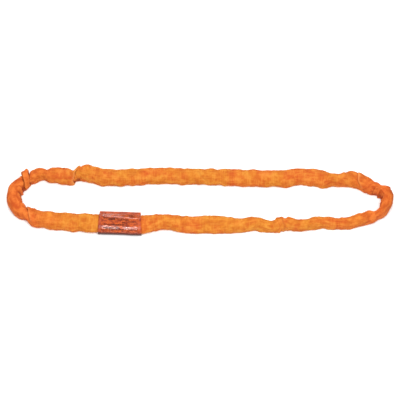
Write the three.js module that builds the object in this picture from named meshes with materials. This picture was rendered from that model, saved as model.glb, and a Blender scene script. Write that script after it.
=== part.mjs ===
// An endless round sling, lying relaxed on a flat surface with its tag upwards.
// Millimetres. +X runs along the sling, +Z is up, and the underside of the jacket lies on z = 0.
//
// The body is a nest of soft layers round one closed centre line: a woven outer cover, a loose inner
// cover, and the load-bearing core of yarn hanks. A piece is drawn straight, as a swept section or a
// ring, and bent() then lays it along the centre line.
import * as THREE from 'three';
import { mergeVertices } from 'three/addons/utils/BufferGeometryUtils.js';

// ---------------------------------------------------------------- driving dimensions
const GAP = 0.4; // between a layer and the next one
const OUTER_WALL = 1.6; // woven jacket
const SLACK = 2.6; // air between the loose jacket and the inner cover
const INNER_WALL = 1.0;
const TIE_WALL = 0.8; // tape that holds the yarn turns together
const COVER_OVERLAP = 50; // the end of a cover is tucked over its beginning by this much
const TUCK_LENGTH = 15; // over which the tucked end changes size
const THREAD = 0.8; // sewing thread diameter
const FINE_THREAD = 0.6; // on the inner cover
const SEAM_ROWS = 24; // between the two rows of stitches on a cover's overlap

const TAG_LENGTH = 131;
const TAG_WALL = 1.0; // coated fabric sleeve
const TAG_FIN = 10; // where the two edges of the sleeve meet and are sewn together
const LABEL_LENGTH = 112;
const LABEL_WALL = 0.4;
const WINDOW_LENGTH = 116;
const END_ROW_INSET = 4; // from the tag's end to its stitch row

// Where the sling lies: the body's centre line (x, y), then half its width and half its height.
const ROUTE = [
  [-249, -84.5, 31, 17], // middle of the tag
  [-180, -87, 31, 17],
  [-108, -77.5, 24, 21],
  [-30, -85.5, 28, 18],
  [48, -83.5, 30, 17],
  [117, -89, 22, 21],
  [179, -83.5, 20, 21],
  [223, -93.5, 17, 19], // pinched
  [254, -84.5, 20, 21],
  [317, -88.5, 17, 20],
  [376, -78.5, 17, 20],
  [438, -83, 17, 20],
  [482, -75.5, 18, 22],
  [551, -51.5, 17, 27], // right-hand turn, where the body stands on its edge
  [574, -28.5, 17, 28],
  [583, -1.5, 18, 28],
  [573, 25.5, 18, 28],
  [520, 53.5, 20, 24],
  [485, 73, 26, 20],
  [423, 72.5, 18, 22], // necked
  [379, 81, 30, 17],
  [323, 87.5, 28, 18],
  [245, 80.5, 28, 18],
  [157, 82, 29, 18],
  [-15, 87, 26, 19],
  [-108, 90.5, 27, 19],
  [-286, 84, 29, 18],
  [-336, 94, 28, 18],
  [-374, 95.5, 21, 22], // twisted
  [-411, 87.5, 26, 19],
  [-461, 90, 24, 20],
  [-499, 93.5, 17, 21], // necked
  [-555, 59, 20, 24], // left-hand turn
  [-576, 33, 21, 25],
  [-577, 3, 23, 24],
  [-566, -27, 22, 24],
  [-543, -46.5, 22, 22],
  [-511, -61, 27, 19],
  [-390, -76.5, 30, 17],
  [-321, -82, 31, 17],
];
const STATIONS = 80; // sections round the whole sling
const SIDES = 12; // corners of a section
const HANK_SIDES = 8;
const THREAD_SIDES = 6;
const HOLLOW = 0.9; // inner radius of a straight tube of radius 1, before its wall is set
const SQUARENESS = 0.8; // below 1 the oval section grows squarer shoulders
const RING_RADIUS = 10; // of a ring before it is bent; any radius well over its own section's

// How far each surface lies inside the outer cover's skin.
const INNER_COVER = OUTER_WALL + SLACK;
const TIE = INNER_COVER + INNER_WALL + GAP;
const CORE = TIE + TIE_WALL + GAP;
const SLEEVE = -(THREAD + GAP + GAP); // outside the skin, with a seam's thread between
const SLEEVE_FACE = SLEEVE - TAG_WALL;
const TAG_STACK = THREAD + GAP - SLEEVE_FACE; // all that lies under the cover at the tag

// ---------------------------------------------------------------- centre line
const centreLine = new THREE.CatmullRomCurve3(
  ROUTE.map(([x, y]) => new THREE.Vector3(x, y, 0)),
  true,
);
const halfSizes = new THREE.CatmullRomCurve3(
  ROUTE.map(([, , w, h]) => new THREE.Vector3(w, h, 0)),
  true,
);
centreLine.arcLengthDivisions = 4000;
const LOOP_LENGTH = centreLine.getLength();
const TAG_CENTRE = centreLine.getPoint(0);

// The body rises a little where the tag is wrapped under it.
function liftAt(centre) {
  const far = THREE.MathUtils.smoothstep(centre.distanceTo(TAG_CENTRE), 100, 150);
  return TAG_STACK * (1 - far);
}

const stations = Array.from({ length: STATIONS }, (_, i) => {
  const centre = centreLine.getPoint(i / STATIONS);
  const ahead = centreLine.getTangent(i / STATIONS);
  const size = halfSizes.getPoint(i / STATIONS);
  return {
    centre: centre.setZ(size.y + liftAt(centre)),
    inward: new THREE.Vector3(-ahead.y, ahead.x, 0),
    size,
  };
});

// The section at a turn (0 at the tag, 1 once round), straight between two stations.
function sectionAt(turn) {
  const place = THREE.MathUtils.euclideanModulo(turn, 1) * STATIONS;
  const from = stations[Math.floor(place) % STATIONS];
  const to = stations[(Math.floor(place) + 1) % STATIONS];
  const share = place - Math.floor(place);
  return {
    centre: from.centre.clone().lerp(to.centre, share),
    inward: from.inward.clone().lerp(to.inward, share),
    size: from.size.clone().lerp(to.size, share),
  };
}

// The turn at a distance in mm along the centre line from the middle of the tag.
function turnAt(distance) {
  const whole = Math.floor(distance / LOOP_LENGTH);
  return whole + centreLine.getUtoTmapping(distance / LOOP_LENGTH - whole);
}

// ---------------------------------------------------------------- shapes of a section
// A corner of the oval, for half sizes measured to its flat sides.
function ovalPoint(angle, halfWidth, halfHeight) {
  const flat = Math.cos(Math.PI / SIDES);
  const swell = (v) => Math.sign(v) * (Math.abs(v) / flat) ** SQUARENESS;
  return new THREE.Vector2(halfWidth * swell(Math.cos(angle)), halfHeight * swell(Math.sin(angle)));
}

// Angles of the oval's corners, so that its underside and its two sides are flat.
function cornerAngle(i) {
  return ((i + 0.5) / SIDES) * 2 * Math.PI;
}

function circle(radius) {
  return Array.from({ length: SIDES }, (_, i) =>
    new THREE.Vector2(Math.cos(cornerAngle(i)), Math.sin(cornerAngle(i))).multiplyScalar(radius),
  );
}

// The outline of a strip of the given thickness along a path of points.
function stripShape(path, thickness) {
  const edge = (side) =>
    path.map((point, i) => {
      const before = path[Math.max(i - 1, 0)];
      const after = path[Math.min(i + 1, path.length - 1)];
      const along = after.clone().sub(before).normalize();
      return new THREE.Vector2(-along.y, along.x).multiplyScalar((side * thickness) / 2).add(point);
    });
  return new THREE.Shape([...edge(-1), ...edge(1).reverse()]);
}

// ---------------------------------------------------------------- bending pieces to the centre line
// Moves each vertex to where() says, which gives a turn and how far inwards and up the vertex is from
// the middle of the section there.
function bent(geometry, where) {
  const positions = geometry.getAttribute('position');
  const vertex = new THREE.Vector3();
  for (let i = 0; i < positions.count; i += 1) {
    vertex.fromBufferAttribute(positions, i);
    const { turn, inwards, up } = where(vertex);
    const section = sectionAt(turn);
    vertex.copy(section.centre).addScaledVector(section.inward, inwards);
    positions.setXYZ(i, vertex.x, vertex.y, vertex.z + up);
  }
  geometry.deleteAttribute('normal');
  geometry.deleteAttribute('uv');
  const closed = mergeVertices(geometry, 1e-3);
  closed.computeVertexNormals();
  return closed;
}

// A sleeve of cloth through the given rings, each { turn, inset }, inset being how far its outer skin
// lies inside the outer cover's.
function tube(rings, wall) {
  const skins = new THREE.Shape(circle(1));
  skins.holes.push(new THREE.Path(circle(HOLLOW)));
  const steps = rings.length - 1;
  const straight = new THREE.ExtrudeGeometry(skins, { depth: steps, steps, bevelEnabled: false });
  return bent(straight, (v) => {
    const ring = rings[Math.round(v.z)];
    const inset = ring.inset + (wall * (1 - Math.hypot(v.x, v.y))) / (1 - HOLLOW);
    const { size } = sectionAt(ring.turn);
    const corner = ovalPoint(Math.atan2(v.y, v.x), size.x - inset, size.y - inset);
    return { turn: ring.turn, inwards: corner.x, up: corner.y };
  });
}

// A cover goes once round the sling from its mouth, and its last stretch overlaps its beginning.
function cover(mouth, inset, tailInset, wall) {
  const clear = 0.3; // share of a station's space kept between two rings
  const start = turnAt(mouth);
  const tuckFrom = 1 + turnAt(mouth - 2 * TUCK_LENGTH);
  const tuckTo = 1 + turnAt(mouth - TUCK_LENGTH);
  const rings = [{ turn: start, inset }];
  for (let i = Math.ceil(start * STATIONS + clear); i < tuckFrom * STATIONS - clear; i += 1) {
    rings.push({ turn: i / STATIONS, inset });
  }
  rings.push({ turn: tuckFrom, inset });
  rings.push({ turn: tuckTo, inset: tailInset });
  rings.push({ turn: 1 + start, inset: tailInset });
  rings.push({ turn: 1 + turnAt(mouth + COVER_OVERLAP), inset: tailInset });
  return tube(rings, wall);
}

// An endless bundle of yarn. Its middle and half sizes are shares of the core's half width and height.
function hank(middleAcross, middleUp, halfAcross, halfUp) {
  const ring = new THREE.TorusGeometry(RING_RADIUS, 1, HANK_SIDES, STATIONS);
  return bent(ring, (v) => {
    const turn = THREE.MathUtils.euclideanModulo(Math.atan2(v.y, v.x) / (2 * Math.PI), 1);
    const turnOfStation = Math.round(turn * STATIONS) / STATIONS;
    const { size } = sectionAt(turnOfStation);
    const outwards = middleAcross + halfAcross * (Math.hypot(v.x, v.y) - RING_RADIUS);
    const up = middleUp + halfUp * v.z;
    return {
      turn: turnOfStation,
      inwards: -outwards * (size.x - CORE),
      up: up * (size.y - CORE),
    };
  });
}

// A closed ring of thread round the section, its middle the given inset inside the cover's skin.
function threadRing(distance, inset, diameter) {
  const ring = new THREE.TorusGeometry(RING_RADIUS, diameter / 2, THREAD_SIDES, SIDES);
  ring.rotateZ(cornerAngle(0));
  return bent(ring, (v) => {
    const turn = turnAt(distance + v.z);
    const { size } = sectionAt(turn);
    const depth = inset - (Math.hypot(v.x, v.y) - RING_RADIUS);
    const corner = ovalPoint(Math.atan2(v.y, v.x), size.x - depth, size.y - depth);
    return { turn, inwards: corner.x, up: corner.y };
  });
}

// A tape wound round the core, over most of the space after a station.
function tie(station) {
  const rings = [0.2, 0.8].map((share) => ({ turn: (station + share) / STATIONS, inset: TIE }));
  return tube(rings, TIE_WALL);
}

// ---------------------------------------------------------------- tag
const tagSection = sectionAt(0).size;

// Points round the tag at a given inset, between two corners of the oval. Corner 0 is just above the
// middle of the side that faces into the loop, and the count goes over the top.
function roundTag(inset, firstCorner, lastCorner) {
  const points = [];
  for (let i = firstCorner; i <= lastCorner; i += 1) {
    points.push(ovalPoint(cornerAngle(i), tagSection.x - inset, tagSection.y - inset));
  }
  return points;
}

// The sleeve's cloth runs round the body, and its edges lie on each other in a fin.
function sleevePath() {
  const middle = SLEEVE - TAG_WALL / 2;
  const root = tagSection.x - middle;
  const half = (TAG_WALL + GAP) / 2;
  return [
    new THREE.Vector2(root + TAG_FIN, half),
    new THREE.Vector2(root + half, half),
    ...roundTag(middle, 0, SIDES - 1),
    new THREE.Vector2(root + half, -half),
    new THREE.Vector2(root + TAG_FIN, -half),
  ];
}

// A strip of cloth wrapped on the tag, of the given length along the body.
function wrapped(path, thickness, length) {
  const steps = 4;
  const options = { depth: length, steps, bevelEnabled: false };
  const straight = new THREE.ExtrudeGeometry(stripShape(path, thickness), options);
  return bent(straight, (v) => ({ turn: turnAt(v.z - length / 2), inwards: v.x, up: v.y }));
}

// A round thread, straight along z.
function thread(length, steps) {
  const section = Array.from({ length: THREAD_SIDES }, (_, i) => {
    const angle = (i / THREAD_SIDES) * 2 * Math.PI;
    return new THREE.Vector2(Math.cos(angle), Math.sin(angle)).multiplyScalar(THREAD / 2);
  });
  const options = { depth: length, steps, bevelEnabled: false };
  return new THREE.ExtrudeGeometry(new THREE.Shape(section), options);
}

// The row at one end of the tag goes round the sleeve from one side of the fin to the other.
function endRow(distance) {
  const corners = roundTag(SLEEVE_FACE - GAP - THREAD / 2, 0, SIDES - 1);
  return bent(thread(SIDES - 1, SIDES - 1), (v) => {
    const corner = corners[Math.round(v.z)];
    const grow = 1 + v.x / corner.length();
    return { turn: turnAt(distance - v.y), inwards: corner.x * grow, up: corner.y * grow };
  });
}

// The row that joins the sleeve's two edges lies on top of the fin.
function finRow() {
  const length = TAG_LENGTH - 2 * END_ROW_INSET;
  const inwards = tagSection.x - SLEEVE_FACE + TAG_FIN / 2;
  const up = TAG_WALL + GAP / 2 + GAP + THREAD / 2;
  return bent(thread(length, 4), (v) => ({
    turn: turnAt(v.z - length / 2),
    inwards: inwards + v.x,
    up: up + v.y,
  }));
}

// ---------------------------------------------------------------- assembly
const sling = new THREE.Group();

function add(name, geometry, color, roughness) {
  const material = new THREE.MeshStandardMaterial({ color, roughness, metalness: 0 });
  const mesh = new THREE.Mesh(geometry, material);
  mesh.name = name;
  sling.add(mesh);
}

const ORANGE = '#ee8834';
const TAG_RED = '#cd5b37';
const WHITE = '#eeeae0';

const outerMouth = -COVER_OVERLAP / 2;
const innerMouth = LOOP_LENGTH / 2;
const innerTail = INNER_COVER - INNER_WALL - GAP;
add('outer_cover', cover(outerMouth, 0, OUTER_WALL + GAP, OUTER_WALL), ORANGE, 0.85);
add('inner_cover', cover(innerMouth, INNER_COVER, innerTail, INNER_WALL), WHITE, 0.85);

// Six hanks in two rows of three. The outer ones are lower, to fit the oval.
const HANKS = [
  [-0.62, 0.36, 0.28, 0.33],
  [0, 0.48, 0.28, 0.45],
  [0.62, 0.36, 0.28, 0.33],
];
HANKS.forEach(([across, up, halfAcross, halfUp], i) => {
  add(`core_hank_${i + 1}`, hank(across, up, halfAcross, halfUp), WHITE, 0.6);
  add(`core_hank_${i + 4}`, hank(across, -up, halfAcross, halfUp), WHITE, 0.6);
});
[46, 52, 76].forEach((station, i) => {
  add(`core_tie_${i + 1}`, tie(station), '#d8cfa8', 0.5);
});

// Each cover's overlap is sewn by two rings of stitches.
[-0.5, 0.5].forEach((side, i) => {
  const outerInset = -(GAP + THREAD / 2);
  const innerInset = innerTail - FINE_THREAD;
  const innerMiddle = innerMouth + COVER_OVERLAP / 2;
  add(`outer_cover_seam_${i + 1}`, threadRing(side * SEAM_ROWS, outerInset, THREAD), ORANGE, 0.7);
  const innerSeam = threadRing(innerMiddle + side * SEAM_ROWS, innerInset, FINE_THREAD);
  add(`inner_cover_seam_${i + 1}`, innerSeam, WHITE, 0.7);
});

const labelMiddle = SLEEVE_FACE - GAP - LABEL_WALL / 2;
const windowMiddle = labelMiddle - LABEL_WALL - GAP;
add('tag_sleeve', wrapped(sleevePath(), TAG_WALL, TAG_LENGTH), TAG_RED, 0.5);
add('tag_label', wrapped(roundTag(labelMiddle, 0, 6), LABEL_WALL, LABEL_LENGTH), TAG_RED, 0.6);
add('tag_window', wrapped(roundTag(windowMiddle, 0, 6), LABEL_WALL, WINDOW_LENGTH), '#f2e6e0', 0.15);
add('tag_fin_stitching', finRow(), '#5a2a1c', 0.7);
add('tag_end_stitching_left', endRow(END_ROW_INSET - TAG_LENGTH / 2), '#5a2a1c', 0.7);
add('tag_end_stitching_right', endRow(TAG_LENGTH / 2 - END_ROW_INSET), '#5a2a1c', 0.7);

export default sling;
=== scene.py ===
import math

import bmesh
import bpy
import numpy as np
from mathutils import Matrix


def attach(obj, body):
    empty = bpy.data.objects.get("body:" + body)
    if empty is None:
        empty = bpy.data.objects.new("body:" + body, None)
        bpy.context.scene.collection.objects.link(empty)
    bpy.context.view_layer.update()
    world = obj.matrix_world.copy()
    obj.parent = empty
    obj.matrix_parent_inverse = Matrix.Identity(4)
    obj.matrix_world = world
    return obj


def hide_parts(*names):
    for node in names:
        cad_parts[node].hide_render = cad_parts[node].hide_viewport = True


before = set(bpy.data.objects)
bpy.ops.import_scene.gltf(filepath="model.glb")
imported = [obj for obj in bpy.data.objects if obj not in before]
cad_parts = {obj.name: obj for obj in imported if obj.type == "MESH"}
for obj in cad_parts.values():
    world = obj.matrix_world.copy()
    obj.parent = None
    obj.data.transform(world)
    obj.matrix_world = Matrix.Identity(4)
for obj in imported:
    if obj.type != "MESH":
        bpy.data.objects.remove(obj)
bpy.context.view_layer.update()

MM = 0.001
scene = bpy.context.scene

# The body's centre line (x, y), then half its width and half its height.
ROUTE = [
    (-0.249, -0.0845, 0.031, 0.017),  # under the tag
    (-0.180, -0.0870, 0.031, 0.017),
    (-0.108, -0.0775, 0.024, 0.021),
    (-0.030, -0.0855, 0.028, 0.018),
    (0.048, -0.0835, 0.030, 0.017),
    (0.117, -0.0890, 0.022, 0.021),
    (0.179, -0.0835, 0.020, 0.021),
    (0.223, -0.0935, 0.017, 0.019),  # pinched
    (0.254, -0.0845, 0.020, 0.021),
    (0.317, -0.0885, 0.017, 0.020),
    (0.376, -0.0785, 0.017, 0.020),
    (0.438, -0.0830, 0.017, 0.020),
    (0.482, -0.0755, 0.018, 0.022),
    (0.551, -0.0515, 0.017, 0.027),  # right-hand turn, where the body stands on its edge
    (0.574, -0.0285, 0.017, 0.028),
    (0.583, -0.0015, 0.018, 0.028),
    (0.573, 0.0255, 0.018, 0.028),
    (0.520, 0.0535, 0.020, 0.024),
    (0.485, 0.0730, 0.026, 0.020),
    (0.423, 0.0725, 0.018, 0.022),  # necked
    (0.379, 0.0810, 0.030, 0.017),
    (0.323, 0.0875, 0.028, 0.018),
    (0.245, 0.0805, 0.028, 0.018),
    (0.157, 0.0820, 0.029, 0.018),
    (-0.015, 0.0870, 0.026, 0.019),
    (-0.108, 0.0905, 0.027, 0.019),
    (-0.286, 0.0840, 0.029, 0.018),
    (-0.336, 0.0940, 0.028, 0.018),
    (-0.374, 0.0955, 0.021, 0.022),  # twisted
    (-0.411, 0.0875, 0.026, 0.019),
    (-0.461, 0.0900, 0.024, 0.020),
    (-0.499, 0.0935, 0.017, 0.021),  # necked
    (-0.555, 0.0590, 0.020, 0.024),  # left-hand turn
    (-0.576, 0.0330, 0.021, 0.025),
    (-0.577, 0.0030, 0.023, 0.024),
    (-0.566, -0.0270, 0.022, 0.024),
    (-0.543, -0.0465, 0.022, 0.022),
    (-0.511, -0.0610, 0.027, 0.019),
    (-0.390, -0.0765, 0.030, 0.017),
    (-0.321, -0.0820, 0.031, 0.017),
]
TAG_STACK = 3.8 * MM  # cloth and thread under the body at the tag
SQUARENESS = 0.8
TAG_HALF = 65.5 * MM


# ------------------------------------------------------------------ centre line
def closed_spline(points, per_span):
    """A closed centripetal Catmull-Rom curve through the points; neighbours may be the same."""
    p = np.asarray(points, float)
    before, after, beyond = np.roll(p, 1, 0), np.roll(p, -1, 0), np.roll(p, -2, 0)
    d0, d1, d2 = (
        np.sqrt(np.linalg.norm(b - a, axis=1))[:, None]
        for a, b in ((before, p), (p, after), (after, beyond))
    )
    d1 = np.where(d1 < 1e-4, 1.0, d1)
    d0 = np.where(d0 < 1e-4, d1, d0)
    d2 = np.where(d2 < 1e-4, d1, d2)
    leave = d1 * ((p - before) / d0 - (after - before) / (d0 + d1) + (after - p) / d1)
    arrive = d1 * ((after - p) / d1 - (beyond - p) / (d1 + d2) + (beyond - after) / d2)
    t = (np.arange(per_span) / per_span)[None, :, None]
    a, b, m, n = (v[:, None, :] for v in (p, after, leave, arrive))
    curve = a + m * t + (3 * (b - a) - 2 * m - n) * t**2 + (2 * (a - b) + m + n) * t**3
    return curve.reshape(-1, p.shape[1])


def smooth_step(x, low, high):
    t = np.clip((x - low) / (high - low), 0, 1)
    return t * t * (3 - 2 * t)


def unit(vectors):
    return vectors / np.linalg.norm(vectors, axis=-1, keepdims=True)


def circle(count):
    return np.arange(count) * 2 * math.pi / count


# The spline's thresholds are for millimetres, as in the CAD.
PER_SPAN = 100
line = closed_spline(np.array([p[:2] for p in ROUTE]) / MM, PER_SPAN) * MM
sizes = closed_spline(np.array([p[2:] for p in ROUTE]) / MM, PER_SPAN) * MM
spans = np.linalg.norm(np.roll(line, -1, 0) - line, axis=1)
along = np.concatenate([[0], np.cumsum(spans)[:-1]])
LOOP = float(spans.sum())
ahead = unit(np.roll(line, -1, 0) - np.roll(line, 1, 0))
from_tag = np.linalg.norm(line - line[0], axis=1)
LIFT_FROM, LIFT_TO = 0.100, 0.150
lift = TAG_STACK * (1 - smooth_step(from_tag, LIFT_FROM, LIFT_TO))
# The tag's sleeve squeezes the body.
SQUEEZED = np.array([29.0, 15.4]) * MM
SQUEEZE_FROM, SQUEEZE_TO = 0.058, 0.076
squeeze = (1 - smooth_step(from_tag, SQUEEZE_FROM, SQUEEZE_TO))[:, None]
middle_height = sizes[:, 1].copy()
sizes = sizes * (1 - squeeze) + SQUEEZED * squeeze


def at(s, values):
    """A value of the centre line at the distances s along."""
    return np.interp(np.asarray(s) % LOOP, np.append(along, LOOP), np.append(values, values[0]))


def place(x, y):
    """The distance along of the centre line's point nearest to a spot on the floor."""
    return float(along[np.argmin(np.hypot(line[:, 0] - x, line[:, 1] - y))])


def from_place(s, s0):
    """Signed distance along from s0 to s, the short way round the loop."""
    return (s - s0 + LOOP / 2) % LOOP - LOOP / 2


def power(v, exponent):
    return np.sign(v) * np.abs(v) ** exponent


def beside(s, inwards, above):
    """Points at the distances s along, so far into the loop and above the centre line."""
    x = at(s, line[:, 0]) - at(s, ahead[:, 1]) * inwards
    y = at(s, line[:, 1]) + at(s, ahead[:, 0]) * inwards
    return np.stack([x, y, at(s, middle_height + lift) + above], -1)


def body_point(s, angle, across=0.0, up=0.0):
    """Points of the plain body, moved by across (into the loop) and up (in the section's plane)."""
    inwards = at(s, sizes[:, 0]) * power(np.cos(angle), SQUARENESS) + across
    return beside(s, inwards, at(s, sizes[:, 1]) * power(np.sin(angle), SQUARENESS) + up)


# ------------------------------------------------------------------ camera, floor, lights
ELEVATION = math.radians(60)
LENS = 135.0
SENSOR = 36.0
SEEN_WIDTH = 1.25
AIM = (0.001, 0.0131, 0.0)

distance = SEEN_WIDTH * LENS / SENSOR
camera_data = bpy.data.cameras.new("camera")
camera_data.lens = LENS
camera_data.sensor_width = SENSOR
camera = bpy.data.objects.new("camera", camera_data)
scene.collection.objects.link(camera)
camera.location = (
    AIM[0],
    AIM[1] - distance * math.cos(ELEVATION),
    AIM[2] + distance * math.sin(ELEVATION),
)
camera.rotation_euler = (math.pi / 2 - ELEVATION, 0, 0)
scene.camera = camera
scene.view_settings.view_transform = "Standard"


def plain_material(name, color, roughness):
    made = bpy.data.materials.new(name)
    made.use_nodes = True
    shader = made.node_tree.nodes["Principled BSDF"]
    shader.inputs["Base Color"].default_value = (*color, 1)
    shader.inputs["Roughness"].default_value = roughness
    return made


def mesh_piece(name, points, faces, smooth=True):
    mesh = bpy.data.meshes.new(name)
    mesh.from_pydata(points, [], faces)
    mesh.update()
    mesh.polygons.foreach_set("use_smooth", [smooth] * len(mesh.polygons))
    piece = bpy.data.objects.new(name, mesh)
    scene.collection.objects.link(piece)
    return piece


FLOOR_HALF = 30
floor_corners = [(x * FLOOR_HALF, y * FLOOR_HALF, 0) for x, y in ((-1, -1), (1, -1), (1, 1), (-1, 1))]
floor = mesh_piece("floor", floor_corners, [(0, 1, 2, 3)], smooth=False)
floor.data.materials.append(plain_material("floor_white", (0.93, 0.93, 0.93), 0.9))

world = bpy.data.worlds.new("studio")
world.use_nodes = True
world.node_tree.nodes["Background"].inputs["Color"].default_value = (1, 1, 1, 1)
world.node_tree.nodes["Background"].inputs["Strength"].default_value = 0.40
scene.world = world


def softbox(name, spot, size, watts):
    """A soft square lamp that faces the middle of the floor."""
    data = bpy.data.lights.new(name, "AREA")
    data.size = size
    data.energy = watts
    lamp = bpy.data.objects.new(name, data)
    scene.collection.objects.link(lamp)
    lamp.location = spot
    away = unit(np.array(spot, float))
    lamp.rotation_euler = (math.acos(away[2]), 0, math.atan2(away[0], -away[1]))


softbox("key", (0.1, -1.4, 3.0), 1.7, 132)
softbox("back", (-0.3, 2.4, 1.9), 1.6, 54)


# ------------------------------------------------------------------ meshes
def grid_mesh(name, points, closed_rings=True, closed_round=True):
    """A mesh of quads over a grid of points (rings, points round a ring, 3)."""
    rings, around = points.shape[:2]
    index = np.arange(rings * around).reshape(rings, around)
    if closed_rings:
        index = np.vstack([index, index[:1]])
    if closed_round:
        index = np.hstack([index, index[:, :1]])
    quads = np.stack([index[:-1, :-1], index[:-1, 1:], index[1:, 1:], index[1:, :-1]], -1)
    return mesh_piece(name, points.reshape(-1, 3).tolist(), quads.reshape(-1, 4).tolist())


def stand_in(piece, node):
    """Say which CAD node the piece is the looks of."""
    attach(piece, "root")
    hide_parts(node)
    return piece


# ------------------------------------------------------------------ the jacket's shape
# Swellings and dents: a spot on the floor near the centre line, the angle round the section, how far
# the cloth stands out (mm) and how far along it spreads (mm).
SWELLS = [
    (0.583, -0.0015, 0, -8, 11),  # kink on the inside of the right-hand turn
    (0.574, 0.0240, 0, 3, 9),
    (0.557, -0.0450, 20, -14, 16),  # the inside of the turn runs far out
    (0.542, -0.0565, 27, -15, 12),
    (0.563, 0.0350, 150, -16, 12),  # dip before the knuckle
    (0.569, 0.0300, -30, 6, 8),
    (0.579, 0.0160, 175, 4, 11),  # knuckle
    (0.583, -0.0120, 180, -3, 16),
    (0.543, 0.0430, 150, -9, 11),
    (0.551, 0.0390, -10, 4, 7),  # puckers inside the right-hand turn
    (0.524, 0.0510, -15, 5, 8),
    (0.507, 0.0640, 150, -5, 8),
    (0.453, 0.0735, 150, 5, 8),  # hump of the second twist
    (0.475, 0.0735, 150, 3, 10),
    (0.402, 0.0740, -30, 6, 13),
    (0.270, 0.0830, -30, 6, 16),
    (0.057, 0.0850, 150, -6, 14),
    (-0.055, 0.0880, -30, 4, 12),
    (-0.355, 0.0955, 150, 8, 14),  # hump beside the first twist
    (-0.393, 0.0915, 150, -14, 10),
    (-0.385, 0.0930, 5, -6, 7),  # pocket under the twist
    (-0.430, 0.0885, 150, 3, 12),
    (-0.478, 0.0920, 150, -10, 11),
    (-0.524, 0.0830, 150, -4, 8),
    (-0.541, 0.0720, -20, -11, 16),  # under the gathered ring
    (-0.563, 0.0420, 0, 3, 6),  # puckers inside the left-hand turn
    (-0.573, -0.0200, 180, -4, 18),
    (-0.525, -0.0555, 36, 4, 8),  # lobe at the corner of the left-hand turn
    (-0.547, -0.0420, 30, -6, 8),
    (-0.552, -0.0400, 40, -4, 8),
    (-0.550, -0.0420, 190, -4, 12),
    (-0.529, -0.0550, 200, -13, 14),
    (0.301, -0.0880, 210, -4, 10),
    (0.248, -0.0850, 30, 3.5, 7),  # little peak at the pinch
    (0.264, -0.0845, 30, -9, 7),
    (0.232, -0.0915, 210, 2.5, 8),
    (0.247, -0.0855, 205, -5, 5),
    (0.263, -0.0850, 205, 2, 6),
    (0.357, -0.0810, 30, 4, 12),
    (0.470, -0.0780, 30, -5, 13),
]

# Laps, where cloth folds over its neighbour: a spot, half the width of the fold along (mm), how high
# the lip stands (mm), which side it is on (1 for the stretch that comes later, -1 for the one before),
# how far the fold line leans over the section (mm) and at which angle, the angle round that it is
# strongest at, and how far round it reaches (degrees).
LAPS = [
    (-0.388, 0.0925, 16, 4.5, 1, 15, 0, 20, 150),  # twist on the top run
    (0.5175, 0.0560, 16, 4.2, -1, -26, -60, 50, 160),  # twist before the right-hand turn
    (0.560, 0.0360, 11, 3.0, -1, 9, 0, 10, 80),  # knuckle of the right-hand turn
    (-0.529, -0.0545, 13, 3.4, 1, -20, 0, 95, 68),  # corner of the left-hand turn
    (-0.566, 0.0480, 10, 3.0, 1, 6, 0, 10, 75),
]
# How cloth runs through a lap: share of the cloth, then where it lies along and how high, in shares of
# the lap's half width and of its lip, and its painted shading: -1 painted shade deep in the fold, 1
# painted highlight on the lip.
LAP_PROFILE = [
    (-1.00, -1.00, 0.00, 0.0),
    (-0.62, -0.55, -0.05, 0.0),
    (-0.38, -0.15, -0.45, -0.5),
    (-0.16, 0.12, -1.00, -1.0),
    (-0.02, 0.20, -1.05, -1.0),
    (0.10, 0.02, -0.72, -1.0),
    (0.22, -0.24, -0.25, -1.0),
    (0.31, -0.36, 0.25, -0.5),
    (0.40, -0.30, 0.80, 0.9),
    (0.52, -0.05, 1.00, 0.4),
    (0.75, 0.50, 0.50, 0.0),
    (1.00, 1.00, 0.00, 0.0),
]

# The gathered ring at the left-hand turn: a spot, half its width (mm), its height (mm), how much higher
# it is on the outside of the turn (share), and how far it leans (mm). Its profile is the same both ways
# from the middle.
KNOT = (-0.541, 0.0720, 15, 6.5, 1.0, 10)
# The ring's rows are as the laps' profile's; the last column is painted shade below 0 and painted
# highlight above 0.
KNOT_HALF = [
    (-1.00, -1.00, 0.00, 0.0),
    (-0.84, -0.80, -0.20, -0.3),
    (-0.70, -0.62, -0.70, -1.0),
    (-0.58, -0.56, -0.35, -1.0),
    (-0.46, -0.74, 0.25, -0.5),
    (-0.30, -0.68, 0.85, 0.2),
    (-0.14, -0.32, 1.00, 0.3),
]
KNOT_MIDDLE = (0.00, 0.00, 0.92, 0.0)
KNOT_MIRRORED = [(-share, -moved, high, shade) for share, moved, high, shade in reversed(KNOT_HALF)]
KNOT_PROFILE = KNOT_HALF + [KNOT_MIDDLE] + KNOT_MIRRORED

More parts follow.
